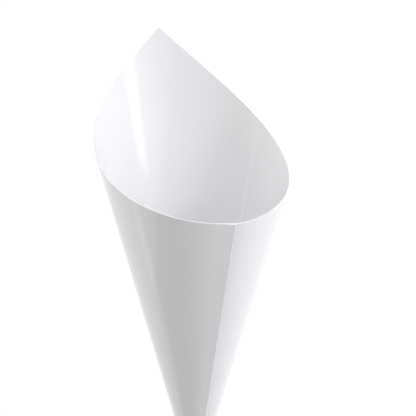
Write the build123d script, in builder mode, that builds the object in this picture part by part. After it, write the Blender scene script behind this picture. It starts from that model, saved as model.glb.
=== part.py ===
from build123d import *
import os
from math import acos, asin, atan, atan2, cos, degrees, radians, sin, sqrt, tan

# A snack cone of glossy white card: one square sheet, rolled with one corner as the tip and the
# opposite corner standing up as the peak at the back of the mouth. The two edges that meet at the
# tip overlap in a narrow glued lap down the front. The cone lies as it comes to rest, on a line
# just beside the peak, with its mouth facing -Y and the lap on top.
#
# Card bends only about straight lines, and here they all run through the tip. So the wall is a
# chain of bends, each a part of a right cone with its own half angle, and each taking over from
# the one before it on a line where both have the same direction.

# Driving dimensions, in millimetres and degrees
sheet_side = 160.0  # each edge of the square sheet
lap_width = 8.5  # overlap of the two edges, measured at the mouth
ledge_width = 0.4  # how far each layer's cut edge stands off the bend beside it, at the mouth
card = 0.45  # thickness of the coated card
oval_lean = 2.5  # how far the bends' axes lean from the cone's own, which makes its mouth oval
peak_turn = 36.0  # from the long end of the oval to the peak's line, about the bend's axis
rest_turn = 13.2  # from the line that the cone lies on to the end of that broad bend
tip_radius = 1.0  # radius below which the card is pressed together into a closed tip
spare = 4.0  # how far the wall and the trimming surfaces run on past the sheet's edges
rim_points = 16  # points that carry each straight edge of the sheet round the cone

# The sheet's square corner is shared out round the cone: a full turn and the lap make 90 degrees
half_corner = 45.0  # from the sheet's diagonal to either edge
lap_on_sheet = degrees(atan2(lap_width, sheet_side))
ledge_on_sheet = degrees(atan2(ledge_width, sheet_side))
cone_angle = degrees(asin((2 * half_corner - lap_on_sheet) / 360))  # between axis and wall

# The oval has two sharp bends at its long ends and two broad ones between them. Their half
# angles differ by as much as their axes are apart, so that each runs smoothly into the next.
axes_apart = degrees(acos(cos(radians(oval_lean)) ** 2))
sharp_angle = cone_angle - axes_apart / 2
broad_angle = cone_angle + axes_apart / 2
half_bend = degrees(atan(1 / cos(radians(oval_lean))))  # turn from a bend's middle to its end

tip_height = tip_radius / tan(radians(cone_angle))
lead = tip_height / 2  # where the wall starts, below the solid tip's base
wall_length = sheet_side * sqrt(2) + spare - lead


def bend_axis(line, half_angle, hand=1):
    """Axis of the right cone that the wall follows from the line on."""
    lean = radians(half_angle)
    return Axis(line.origin, (line.x_dir * cos(lean) - line.z_dir * sin(lean)) * hand)


def rolled(line, half_angle, turn):
    """The line that the wall reaches after this turn about the bend's axis."""
    axis = bend_axis(line, half_angle)
    return Plane(line.origin, line.x_dir.rotate(axis, turn), line.z_dir.rotate(axis, turn))


def run_flat(line, angle):
    """The line that the wall reaches when it runs on without a bend."""
    normal = Axis(line.origin, line.z_dir)
    return Plane(line.origin, line.x_dir.rotate(normal, -angle), line.z_dir)


def cut_short(bends, on_sheet):
    """The bends as far as this angle on the sheet."""
    kept = []
    for half_angle, turn in bends:
        turn_ratio = sin(radians(half_angle))
        if on_sheet > 0:
            kept.append((half_angle, min(turn, on_sheet / turn_ratio)))
        on_sheet -= turn * turn_ratio
    return kept


# Lines of the wall are planes that start at the tip, with x up the wall and z out of it. The
# first one lies along the floor, and the others follow from it.
rest_line = Plane(origin=(0, 0, 0), x_dir=(0, -1, 0), z_dir=(0, 0, -1))
peak_line = rolled(rolled(rest_line, broad_angle, rest_turn), sharp_angle, half_bend - peak_turn)
long_end = rolled(peak_line, sharp_angle, peak_turn)
cone_axis = bend_axis(long_end, sharp_angle + oval_lean)

# The half that ends on top of the lap: a sharp bend from the peak on, a broad one, and a sharp
# one again, until the lap lies flat, because two glued layers are too stiff to follow the round
whole_bend = 2 * half_bend
over_bends = [(sharp_angle, half_bend + peak_turn), (broad_angle, whole_bend), (sharp_angle, whole_bend)]
over_bends = cut_short(over_bends, half_corner - lap_on_sheet)
lap_line = peak_line
for half_angle, turn in over_bends:
    lap_line = rolled(lap_line, half_angle, turn)

# The half that ends under the lap is slid up along the peak's line, until its flat stretch lies
# one thickness further in. Its last bend starts where the broad one ends and meets the ridge,
# which is a fold: a bend about the line itself.
slide = card / -peak_line.x_dir.dot(lap_line.z_dir)
under_tip = peak_line.origin + peak_line.x_dir * slide
under_peak = Plane(under_tip, peak_line.x_dir, peak_line.z_dir)
under_lap = run_flat(Plane(under_tip, lap_line.x_dir, lap_line.z_dir), ledge_on_sheet)
ridge = run_flat(under_lap, lap_on_sheet).x_dir
under_bends = [(sharp_angle, half_bend - peak_turn), (broad_angle, whole_bend)]
last_line = rolled(rolled(under_peak, sharp_angle, peak_turn - half_bend), broad_angle, -whole_bend)
last_angle = atan2(1 - last_line.x_dir.dot(ridge), -last_line.z_dir.dot(ridge))
last_turn = acos((last_line.x_dir.dot(ridge) - cos(last_angle) ** 2) / sin(last_angle) ** 2)
last_line = rolled(last_line, degrees(last_angle), -degrees(last_turn))
under_bends.append((degrees(last_angle), degrees(last_turn)))
under_bends.append((0, last_line.z_dir.get_angle(under_lap.z_dir)))


def line_on_sheet(line, bends, hand, on_sheet):
    """The line of the wall that lies at this angle from the sheet's diagonal."""
    for half_angle, turn in bends:
        turn_ratio = sin(radians(half_angle))
        if on_sheet < turn * turn_ratio:
            return rolled(line, half_angle, hand * on_sheet / turn_ratio)
        line = rolled(line, half_angle, hand * turn)
        on_sheet -= turn * turn_ratio
    return run_flat(line, hand * on_sheet)


def rim_line(line, bends, hand, reach):
    """A straight edge of the sheet, carried round the cone and moved out from the wall by reach."""
    points = []
    angles = [number * half_corner / rim_points for number in range(-1, rim_points + 2)]
    for on_sheet in angles:
        slant = sheet_side / cos(radians(half_corner - on_sheet))
        slant -= (line.origin - peak_line.origin).length
        wall = line_on_sheet(line, bends, hand, on_sheet)
        points.append(wall.origin + wall.x_dir * slant + wall.z_dir * reach)
    return Edge.make_spline(points, parameters=angles)


def half_of_sheet(line, bends, hand, lap):
    """One half of the wall, from the peak's line round to the lap, trimmed to the sheet's edge."""
    inner_rim = rim_line(line, bends, hand, -spare)
    outer_rim = rim_line(line, bends, hand, sheet_side / 3)
    with BuildPart() as half:
        for half_angle, turn in bends:
            with BuildSketch(Plane(line.origin, line.x_dir, -line.y_dir)) as cut_through:
                with Locations((lead, 0)):
                    Rectangle(wall_length, card, align=Align.MIN)
            revolve(cut_through.sketch, bend_axis(line, half_angle, hand), turn)
            line = rolled(line, half_angle, hand * turn)
        with BuildSketch(lap) as flat_stretch:
            with BuildLine():
                near_edge = PolarLine((0, 0), wall_length, 0)
                far_edge = PolarLine((0, 0), wall_length, -lap_on_sheet)
                Line(near_edge @ 1, far_edge @ 1)
            make_face()
        extrude(flat_stretch.sketch, amount=card)
        trim = Face.make_surface_from_curves(inner_rim, outer_rim)
        extrude(trim, amount=sheet_side, dir=cone_axis.direction, mode=Mode.SUBTRACT)
    return half.part


# The whole sheet: both halves, joined down the peak's line and glued in the lap, above the tip
tip_base = Plane(cone_axis.position + cone_axis.direction * tip_height, z_dir=cone_axis.direction)
with BuildPart() as cone_sheet:
    add(half_of_sheet(under_peak, under_bends, -1, under_lap))
    add(half_of_sheet(peak_line, over_bends, 1, lap_line))
    split(bisect_by=tip_base)
    tip_ring = cone_sheet.faces().sort_by(cone_axis)[0]
    loft([Face(tip_ring.outer_wire()), Vertex(*peak_line.origin)], ruled=True)

# The model's origin is on the floor, under the middle of the cone
bounds = cone_sheet.part.bounding_box()
cone = Pos(-bounds.center().X, -bounds.center().Y, -bounds.min.Z) * cone_sheet.part

cone.label = "cone_sheet"
os.makedirs("parts", exist_ok=True)
export_step(cone, "parts/cone_sheet.step")
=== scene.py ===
"""Looks for a snack cone of glossy white card, lying on a white studio floor.

The square sheet is rolled again here with the driving dimensions of the part's source, as a fine
mesh that lies on the same surfaces. Lengths are in metres and angles in radians.
"""

import math
from collections import namedtuple

import bmesh
import bpy
from mathutils import Matrix, Vector


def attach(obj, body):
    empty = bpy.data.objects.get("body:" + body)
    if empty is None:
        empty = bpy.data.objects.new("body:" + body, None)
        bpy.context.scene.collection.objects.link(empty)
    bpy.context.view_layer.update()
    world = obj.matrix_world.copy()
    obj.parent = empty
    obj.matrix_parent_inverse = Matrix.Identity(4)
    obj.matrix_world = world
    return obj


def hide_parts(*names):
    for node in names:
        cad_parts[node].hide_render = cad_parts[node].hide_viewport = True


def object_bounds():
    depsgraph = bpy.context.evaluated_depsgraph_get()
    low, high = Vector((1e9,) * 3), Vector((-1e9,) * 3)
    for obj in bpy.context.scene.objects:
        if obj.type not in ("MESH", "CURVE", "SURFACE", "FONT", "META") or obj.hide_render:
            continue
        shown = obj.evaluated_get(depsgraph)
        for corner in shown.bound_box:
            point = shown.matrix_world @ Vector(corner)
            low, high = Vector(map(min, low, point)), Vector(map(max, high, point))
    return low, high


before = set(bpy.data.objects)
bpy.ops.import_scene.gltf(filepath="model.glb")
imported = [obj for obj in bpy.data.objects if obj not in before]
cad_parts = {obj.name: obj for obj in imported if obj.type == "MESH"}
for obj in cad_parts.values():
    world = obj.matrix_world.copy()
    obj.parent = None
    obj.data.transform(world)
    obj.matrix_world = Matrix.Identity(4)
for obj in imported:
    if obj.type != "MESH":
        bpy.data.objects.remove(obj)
cad_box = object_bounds()

MM = 0.001

# Driving dimensions, the same as in the part's source
SHEET_SIDE = 160 * MM  # each edge of the square sheet
LAP_WIDTH = 8.5 * MM  # overlap of the two edges, measured at the mouth
LEDGE_WIDTH = 0.4 * MM  # how far each layer's cut edge stands off the bend beside it, also there
CARD = 0.45 * MM  # thickness of the coated card
OVAL_LEAN = math.radians(2.5)  # how far the bends' axes lean from the cone's own
PEAK_TURN = math.radians(36)  # from the long end of the mouth's oval to the peak's line
REST_TURN = math.radians(13.2)  # from the line that the cone lies on to the end of its bend
TIP_RADIUS = 1 * MM  # radius below which the card is pressed together

# What follows from them: angles on the sheet, half angles of the bends, and half a bend's turn
HALF_CORNER = math.radians(45)
LAP_ON_SHEET = math.atan2(LAP_WIDTH, SHEET_SIDE)
LEDGE_ON_SHEET = math.atan2(LEDGE_WIDTH, SHEET_SIDE)
CONE_ANGLE = math.asin((2 * HALF_CORNER - LAP_ON_SHEET) / math.tau)
AXES_APART = math.acos(math.cos(OVAL_LEAN) ** 2)
SHARP_ANGLE = CONE_ANGLE - AXES_APART / 2
BROAD_ANGLE = CONE_ANGLE + AXES_APART / 2
HALF_BEND = math.atan(1 / math.cos(OVAL_LEAN))

# What only the visible sheet has
EDGE_ROUND = 0.07 * MM  # how much is taken off the rim's corners
PRESSED_EDGE = 0.28 * MM  # width and depth of the slope that the blade left down the outer cut
PRESSED_SHARE = 0.9  # how much of the way to the next line that slope may take, near the tip
INSIDE_TIP = 3 * MM  # how far from the tip the inside comes to its own point

# A painted highlight along a soft fold from the tip beside the peak, which dies out up the sheet
FOLD_ANGLE = math.radians(-14.7)  # from the sheet's diagonal
FOLD_WIDTH = 1.8 * MM
FOLD_FADES = 150 * MM  # how far from the tip it starts to fade
FOLD_ENDS = 200 * MM  # how far from the tip it ends
FOLD_HIGHLIGHT_SHARE = 0.75  # how much of the painted highlight's white shows in its middle

# How finely the visible sheet is divided
ANGLE_STEP = math.radians(0.4)  # between two lines of the wall, on the sheet
RIDGE_STEP = math.radians(4)  # between two lines round the ridge under the lap
ROWS = 24  # steps up each line
SAME_POINT = 0.0001 * MM  # points that are closer together than this become one
CREASE = math.radians(35)  # a bend sharper than this is shaded as an edge

# The photograph's view
CAMERA_PLACE = Vector((-66.144, -75.246, 404.568)) * MM
CAMERA_AIM = Vector((-2.330, -26.838, 0)) * MM
CAMERA_ROLL = math.radians(-125.442)
FOCAL_LENGTH = 850  # in pixels of the photograph
PHOTO_WIDTH = 416  # in pixels

# The studio
LAMP_AIM = Vector((0, -40, 30)) * MM  # in the wider half of the cone
RIGHT_PLACE = (-0.734, -0.554, 0.349)  # of the key and of the strip box, which share it
FILL_SIZE = (0.6, 0.36)
DAYLIGHT = "#F8F9FF"  # the slightly bluer light from the picture's right
TENT_LIGHT = 0.42  # strength of the white tent's light, where the camera sees it at 1
FLOOR_GLOW = 0.86  # the floor's own share of the white that the camera sees
FLOOR_HALF = 3.0  # half the floor's width

# Where a Mix node has its two colour inputs and its colour output, as their names aren't unique
MIX_FIRST, MIX_SECOND, MIX_RESULT = 6, 7, 2

# A line of the wall: its angle on the sheet, measured from the diagonal; the point by the tip that
# it starts from, and how far that has slid up; its directions up the wall and out of it; the
# height of the card's outer face over it; and how far the blade has drawn the edge in there
WallLine = namedtuple("WallLine", "on_sheet tip slide up out top drawn_in")


def rolled(line, half_angle, turn):
    """Carries a line of the wall, given as its directions up and out, round a bend's axis."""
    up, out = line
    axis = up * math.cos(half_angle) - out * math.sin(half_angle)
    spin = Matrix.Rotation(turn, 3, axis)
    return spin @ up, spin @ out


def run_flat(line, angle):
    """Carries a line of the wall along a stretch without a bend."""
    up, out = line
    return Matrix.Rotation(-angle, 3, out) @ up, out


def lines_of_half(peak_line, bends, hand):
    """Lines of the wall from the peak to the sheet's edge, each with its angle on the sheet."""
    lines = [(0.0, peak_line)]
    line = peak_line
    on_sheet = 0.0
    for half_angle, turn in bends:
        used = turn * math.sin(half_angle)
        # A fold about the line itself uses up no sheet, so its steps are counted from its turn
        steps = math.ceil(used / ANGLE_STEP) if half_angle else math.ceil(turn / RIDGE_STEP)
        for step in range(1, steps + 1):
            part = step / steps
            lines.append((on_sheet + used * part, rolled(line, half_angle, hand * turn * part)))
        line = rolled(line, half_angle, hand * turn)
        on_sheet += used
    flat = HALF_CORNER - on_sheet
    steps = math.ceil(flat / ANGLE_STEP)
    for step in range(1, steps + 1):
        part = step / steps
        lines.append((on_sheet + flat * part, run_flat(line, hand * flat * part)))
    return lines


def roll_sheet():
    """All lines of the rolled sheet, from the hidden edge under the lap to the outer cut edge."""
    rest_line = (Vector((0, -1, 0)), Vector((0, 0, -1)))
    beside_peak = rolled(rest_line, BROAD_ANGLE, REST_TURN)
    peak_line = rolled(beside_peak, SHARP_ANGLE, HALF_BEND - PEAK_TURN)

    # The half that ends on top of the lap
    over_bends = [(SHARP_ANGLE, HALF_BEND + PEAK_TURN), (BROAD_ANGLE, 2 * HALF_BEND)]
    used = sum(turn * math.sin(angle) for angle, turn in over_bends)
    lap_turn = (HALF_CORNER - LAP_ON_SHEET - used) / math.sin(SHARP_ANGLE)
    over_bends.append((SHARP_ANGLE, lap_turn))
    lap_line = peak_line
    for half_angle, turn in over_bends:
        lap_line = rolled(lap_line, half_angle, turn)

    # The half that ends under the lap is slid up the peak's line by as much as puts its flat
    # stretch one thickness further in. Its last bend meets the ridge, a fold about the line itself
    slide = CARD / -peak_line[0].dot(lap_line[1])
    ridge = run_flat(lap_line, LEDGE_ON_SHEET + LAP_ON_SHEET)[0]
    under_bends = [(SHARP_ANGLE, HALF_BEND - PEAK_TURN), (BROAD_ANGLE, 2 * HALF_BEND)]
    last = peak_line
    for half_angle, turn in under_bends:
        last = rolled(last, half_angle, -turn)
    to_ridge = last[0].dot(ridge)
    last_angle = math.atan2(1 - to_ridge, -last[1].dot(ridge))
    last_turn = math.acos((to_ridge - math.cos(last_angle) ** 2) / math.sin(last_angle) ** 2)
    fold = rolled(last, last_angle, -last_turn)[1].angle(lap_line[1])
    under_bends += [(last_angle, last_turn), (0.0, fold)]

    under_tip = peak_line[0] * slide
    under = [
        WallLine(-on_sheet, under_tip, slide, *line, CARD, 0.0)
        for on_sheet, line in lines_of_half(peak_line, under_bends, -1)
    ]
    over = [
        WallLine(on_sheet, Vector(), 0.0, *line, CARD, 0.0)
        for on_sheet, line in lines_of_half(peak_line, over_bends, 1)
    ]
    # The pressed edge of the lap is a narrow slope, so its last line is there twice
    cut_edge = over.pop()
    over.append(cut_edge._replace(drawn_in=PRESSED_EDGE))
    over.append(cut_edge._replace(top=CARD - PRESSED_EDGE))
    # Both halves have the peak's line, and once is enough
    return under[:0:-1] + over


def card_section(rim, top):
    """Stations round the card's section along one line: slant from the tip, and height in it."""
    start = TIP_RADIUS / math.sin(CONE_ANGLE)
    shares = [row / ROWS for row in range(ROWS + 1)]
    outer = [(start + (rim - EDGE_ROUND - start) * share, top) for share in shares]
    inner = [(slant, 0.0) for slant, _ in reversed(outer)]
    return outer + [(rim, top - EDGE_ROUND), (rim, EDGE_ROUND)] + inner


def card_points(lines):
    """Points of the card's section along each line, and their places on the flat sheet."""
    points = []
    flat_places = []
    for line in lines:
        rim = SHEET_SIDE / math.cos(HALF_CORNER - abs(line.on_sheet))
        for slant, height in card_section(rim, line.top):
            drawn_in = min(line.drawn_in, slant * math.tan(ANGLE_STEP * PRESSED_SHARE))
            along = line.tip + line.up * (slant - line.slide)
            points.append(along + line.out * height + line.out.cross(line.up) * drawn_in)
            turn = line.on_sheet - drawn_in / slant
            flat_places.append((slant * math.sin(turn), slant * math.cos(turn)))
    return points, flat_places


def card_faces(across, last):
    """Faces between the lines' points, and the numbers of those that are cut card.

    Across is how many points each line has, and last is the number of the last line's first one.
    """
    faces = []
    cut_faces = set()
    for first in range(0, last, across):
        for station in range(across - 1):
            here = first + station
            on_rim = ROWS <= station < across - ROWS - 1
            pressed = first == last - across and station < ROWS
            if on_rim or pressed:
                cut_faces.add(len(faces))
            faces.append((here, here + across, here + across + 1, here + 1))
    # The two straight cuts down the lap
    for first in (0, last):
        for row in range(across // 2 - 1):
            low = first + row
            high = first + across - 1 - row
            cut_faces.add(len(faces))
            quad = (low, low + 1, high - 1, high)
            faces.append(quad if first == 0 else quad[::-1])
    return faces, cut_faces


def tip_faces(across, last, outside_tip, inside_tip):
    """Faces that close the tip, where the card is pressed together, outside and inside."""
    faces = []
    for first in range(0, last, across):
        faces.append((first + across, first, outside_tip))
        faces.append((first + across - 1, first + 2 * across - 1, inside_tip))
    # Between the two cuts, where the wall's first and last lines don't meet
    faces.append((0, across - 1, outside_tip))
    faces.append((last, outside_tip, across - 1, inside_tip, last + across - 1))
    return faces


def mean_line(lines):
    """The mean direction of the wall's lines, which is close to the cone's own axis."""
    return sum((line.up for line in lines), Vector()).normalized()


def over_the_frame(points):
    """The points, moved so that their box stands where the solid's does: centred, on the floor."""
    ends = [(min(along), max(along)) for along in zip(*points)]
    mine = Vector([sum(ends[0]) / 2, sum(ends[1]) / 2, ends[2][0]])
    low, high = (Vector(corner) for corner in cad_box)
    solids = Vector(((low.x + high.x) / 2, (low.y + high.y) / 2, low.z))
    return [point - mine + solids for point in points]


def build_cone():
    """The rolled card as one closed mesh, with its unrolled square laid out as the UV map."""
    lines = roll_sheet()
    points, flat_places = card_points(lines)
    across = len(points) // len(lines)
    last = len(points) - across
    faces, cut_faces = card_faces(across, last)
    faces += tip_faces(across, last, len(points), len(points) + 1)
    points += [Vector(), mean_line(lines) * INSIDE_TIP]
    flat_places += [(0.0, 0.0), (0.0, 0.0)]

    mesh = bpy.data.meshes.new("rolled_card")
    mesh.from_pydata(over_the_frame(points), [], faces)
    unrolled = mesh.uv_layers.new(name="unrolled_sheet")
    for loop in mesh.loops:
        across_sheet, up_sheet = flat_places[loop.vertex_index]
        unrolled.data[loop.index].uv = (across_sheet / SHEET_SIDE, up_sheet / SHEET_SIDE)
    for polygon in mesh.polygons:
        polygon.use_smooth = True
        polygon.material_index = 1 if polygon.index in cut_faces else 0
    # Round the ridge under the lap, the inside's lines lie on each other
    shell = bmesh.new()
    shell.from_mesh(mesh)
    bmesh.ops.remove_doubles(shell, verts=shell.verts, dist=SAME_POINT)
    shell.to_mesh(mesh)
    shell.free()
    mesh.set_sharp_from_angle(angle=CREASE)
    cone = bpy.data.objects.new("rolled_card", mesh)
    bpy.context.scene.collection.objects.link(cone)
    return cone


def linear(code):
    """Linear colour of an sRGB hex value."""
    shares = [int(code[at:at + 2], 16) / 255 for at in (1, 3, 5)]
    return [
        share / 12.92 if share <= 0.04045 else ((share + 0.055) / 1.055) ** 2.4 for share in shares
    ] + [1.0]


def add_node(tree, kind, settings=None, values=None, links=None):
    """Adds a node with its settings, its sockets' values, and links from other nodes' outputs."""
    node = tree.nodes.new(kind)
    for name, setting in (settings or {}).items():
        setattr(node, name, setting)
    for name, value in (values or {}).items():
        node.inputs[name].default_value = value
    for name, source in (links or {}).items():
        tree.links.new(source, node.inputs[name])
    return node


def new_material(name):
    """An empty material and its node tree."""
    material = bpy.data.materials.new(name)
    material.use_nodes = True
    material.node_tree.nodes.clear()
    return material, material.node_tree


def fold_highlight_mask(tree, flat):
    """How much of the painted highlight along the fold shows at each place of the flat sheet."""
    across_fold = add_node(
        tree, "ShaderNodeVectorMath", {"operation": "DOT_PRODUCT"},
        values={1: (math.cos(FOLD_ANGLE), -math.sin(FOLD_ANGLE), 0)}, links={0: flat},
    )
    from_fold = add_node(
        tree, "ShaderNodeMath", {"operation": "ABSOLUTE"}, links={0: across_fold.outputs["Value"]},
    )
    on_fold = add_node(
        tree, "ShaderNodeMapRange", {"interpolation_type": "SMOOTHSTEP"},
        values={
            "From Min": 0.0, "From Max": FOLD_WIDTH / 2 / SHEET_SIDE,
            "To Min": FOLD_HIGHLIGHT_SHARE, "To Max": 0.0,
        },
        links={"Value": from_fold.outputs["Value"]},
    )
    along_fold = add_node(
        tree, "ShaderNodeVectorMath", {"operation": "DOT_PRODUCT"},
        values={1: (math.sin(FOLD_ANGLE), math.cos(FOLD_ANGLE), 0)}, links={0: flat},
    )
    fold_left = add_node(
        tree, "ShaderNodeMapRange", {"interpolation_type": "SMOOTHSTEP"},
        values={
            "From Min": FOLD_FADES / SHEET_SIDE, "From Max": FOLD_ENDS / SHEET_SIDE,
            "To Min": 1.0, "To Max": 0.0,
        },
        links={"Value": along_fold.outputs["Value"]},
    )
    shown = add_node(
        tree, "ShaderNodeMath", {"operation": "MULTIPLY"},
        links={0: on_fold.outputs["Result"], 1: fold_left.outputs["Result"]},
    )
    return shown.outputs["Value"]


def coated_card():
    """White cartonboard with a clay coating, calendered and varnished: even, and glossy on top."""
    material, tree = new_material("coated_card")
    flat = add_node(tree, "ShaderNodeTexCoord").outputs["UV"]
    # The calendered face keeps a faint fibre formation, drawn at about 1.2 mm
    formation_size = 1.2 * MM
    formation = add_node(
        tree, "ShaderNodeTexNoise",
        values={"Scale": SHEET_SIDE / formation_size, "Detail": 3.0, "Roughness": 0.55},
        links={"Vector": flat},
    )
    relief = add_node(
        tree, "ShaderNodeBump",
        values={"Strength": 0.25, "Distance": 0.01 * MM},
        links={"Height": formation.outputs["Fac"]},
    )
    # Painted highlight: the base colour turns whiter along the soft fold
    white = add_node(
        tree, "ShaderNodeMix", {"data_type": "RGBA"},
        values={MIX_FIRST: linear("#F5F5F6"), MIX_SECOND: linear("#FFFFFF")},
        links={0: fold_highlight_mask(tree, flat)},
    )
    card = add_node(
        tree, "ShaderNodeBsdfPrincipled",
        values={
            "Roughness": 0.42, "IOR": 1.5,
            "Coat Weight": 0.9, "Coat Roughness": 0.09, "Coat IOR": 1.5,
        },
        links={
            "Base Color": white.outputs[MIX_RESULT], "Normal": relief.outputs["Normal"],
            "Coat Normal": relief.outputs["Normal"],
        },
    )
    add_node(tree, "ShaderNodeOutputMaterial", links={"Surface": card.outputs["BSDF"]})
    return material


def cut_card():
    """The board's bleached core, where a blade has cut it: bare fibre, white and without gloss."""
    material, tree = new_material("cut_card_edge")
    place = add_node(tree, "ShaderNodeTexCoord").outputs["Object"]
    # Real fibres are about 0.03 mm wide, too fine to show, so they are drawn ten times as coarse
    fibre_width = 0.3 * MM
    fibres = add_node(
        tree, "ShaderNodeTexNoise",
        values={"Scale": 1 / fibre_width, "Detail": 2.0},
        links={"Vector": place},
    )
    relief = add_node(
        tree, "ShaderNodeBump",
        values={"Strength": 0.3, "Distance": 0.03 * MM},
        links={"Height": fibres.outputs["Fac"]},
    )
    core = add_node(
        tree, "ShaderNodeBsdfPrincipled",
        values={"Base Color": linear("#F4F4F3"), "Roughness": 0.85, "IOR": 1.45},
        links={"Normal": relief.outputs["Normal"]},
    )
    add_node(tree, "ShaderNodeOutputMaterial", links={"Surface": core.outputs["BSDF"]})
    return material


def white_floor():
    """Seamless studio paper, which the camera and reflections see as the photograph's white."""
    material, tree = new_material("studio_paper")
    ray = add_node(tree, "ShaderNodeLightPath")
    paper = add_node(tree, "ShaderNodeBsdfDiffuse", values={"Color": linear("#E6E6E6")})
    glow = add_node(
        tree, "ShaderNodeEmission", values={"Color": linear("#FFFFFF"), "Strength": FLOOR_GLOW},
    )
    lit_paper = add_node(tree, "ShaderNodeBsdfDiffuse", values={"Color": linear("#909090")})
    seen = add_node(
        tree, "ShaderNodeAddShader",
        links={0: glow.outputs["Emission"], 1: lit_paper.outputs["BSDF"]},
    )
    camera_or_gloss = add_node(
        tree, "ShaderNodeMath", {"operation": "MAXIMUM"},
        links={0: ray.outputs["Is Camera Ray"], 1: ray.outputs["Is Glossy Ray"]},
    )
    any_view = add_node(
        tree, "ShaderNodeMath", {"operation": "MAXIMUM"},
        links={0: camera_or_gloss.outputs["Value"], 1: ray.outputs["Is Transmission Ray"]},
    )
    shown = add_node(
        tree, "ShaderNodeMixShader",
        links={0: any_view.outputs["Value"], 1: paper.outputs["BSDF"], 2: seen.outputs["Shader"]},
    )
    add_node(tree, "ShaderNodeOutputMaterial", links={"Surface": shown.outputs["Shader"]})
    return material


def lay_floor():
    """The floor, wide enough for every view."""
    ways = [(-1, -1), (1, -1), (1, 1), (-1, 1)]
    corners = [(FLOOR_HALF * x, FLOOR_HALF * y, 0) for x, y in ways]
    mesh = bpy.data.meshes.new("studio_floor")
    mesh.from_pydata(corners, [], [(0, 1, 2, 3)])
    mesh.materials.append(white_floor())
    floor = bpy.data.objects.new("studio_floor", mesh)
    bpy.context.scene.collection.objects.link(floor)


def aimed(place, target, roll=0.0):
    """Rotation of a lamp or camera that looks from its place at the target."""
    level = (target - place).to_track_quat("-Z", "Y").to_matrix()
    return (level @ Matrix.Rotation(roll, 3, "Z")).to_euler()


def hang_softbox(name, place, size, power, colour="#FFFFFF", lean=0.0, lights=True, mirrored=True):
    """An area lamp, aimed at the cone, whose light or mirror image can be left out."""
    lamp = bpy.data.lights.new(name, "AREA")
    lamp.shape = "RECTANGLE"
    lamp.size, lamp.size_y = size
    lamp.energy = power
    lamp.color = linear(colour)[:3]
    box = bpy.data.objects.new(name, lamp)
    box.location = place
    box.rotation_euler = aimed(Vector(place), LAMP_AIM, lean)
    box.visible_camera = False
    box.visible_diffuse = lights
    box.visible_glossy = mirrored
    bpy.context.scene.collection.objects.link(box)


def light_studio():
    """A white tent, lit from the picture's upper right, with soft fill from the other sides.

    Each lamp is given by its name, its place, its width and height in metres, and its watts.
    """
    # What the gloss mirrors: a long strip inside the peak, and a panel's upright edge on the left
    hang_softbox("strip_box", RIGHT_PLACE, (1.24, 0.27), 2.6, DAYLIGHT, lights=False)
    hang_softbox(
        "left_panel", (0.36, 0.045, 0.10), (0.50, 0.22), 0.22, lean=math.radians(-11), lights=False,
    )
    # What lights the card
    hang_softbox("right_key", RIGHT_PLACE, (0.35, 0.27), 3.62, DAYLIGHT, mirrored=False)
    hang_softbox("right_fill", (-0.778, -0.040, 0.575), FILL_SIZE, 1.6, DAYLIGHT, mirrored=False)
    hang_softbox("tip_side_fill", (-0.930, 0.180, 0.300), FILL_SIZE, 0.85, DAYLIGHT, mirrored=False)
    hang_softbox("mouth_fill", (0.389, -0.714, 0.575), FILL_SIZE, 1.2, mirrored=False)
    hang_softbox("left_fill", (0.873, -0.358, 0.228), FILL_SIZE, 1.85, mirrored=False)
    hang_softbox("deep_fill", (0.050, -0.930, 0.200), (0.6, 0.30), 1.15, mirrored=False)

    room = bpy.data.worlds.new("white_room")
    room.use_nodes = True
    tree = room.node_tree
    tree.nodes.clear()
    # The camera sees the tent as white, and it lights the cone more softly than that
    ray = add_node(tree, "ShaderNodeLightPath")
    strength = add_node(
        tree, "ShaderNodeMapRange", values={"To Min": TENT_LIGHT, "To Max": 1.0},
        links={"Value": ray.outputs["Is Camera Ray"]},
    )
    air = add_node(
        tree, "ShaderNodeBackground", values={"Color": linear("#FFFFFF")},
        links={"Strength": strength.outputs["Result"]},
    )
    add_node(tree, "ShaderNodeOutputWorld", links={"Surface": air.outputs["Background"]})
    bpy.context.scene.world = room


def place_camera():
    """A camera almost over the cone, as in the photograph, whose lower edge cuts the tip off."""
    lens = bpy.data.cameras.new("camera")
    lens.lens = FOCAL_LENGTH / PHOTO_WIDTH * lens.sensor_width
    lens.clip_start = 10 * MM
    camera = bpy.data.objects.new("camera", lens)
    bpy.context.scene.collection.objects.link(camera)
    camera.location = CAMERA_PLACE
    camera.rotation_euler = aimed(CAMERA_PLACE, CAMERA_AIM, CAMERA_ROLL)
    bpy.context.scene.camera = camera


cone = build_cone()
cone.data.materials.append(coated_card())
cone.data.materials.append(cut_card())
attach(cone, "root")
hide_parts("cone_sheet")

lay_floor()
light_studio()
place_camera()
bpy.context.scene.view_settings.view_transform = "Standard"
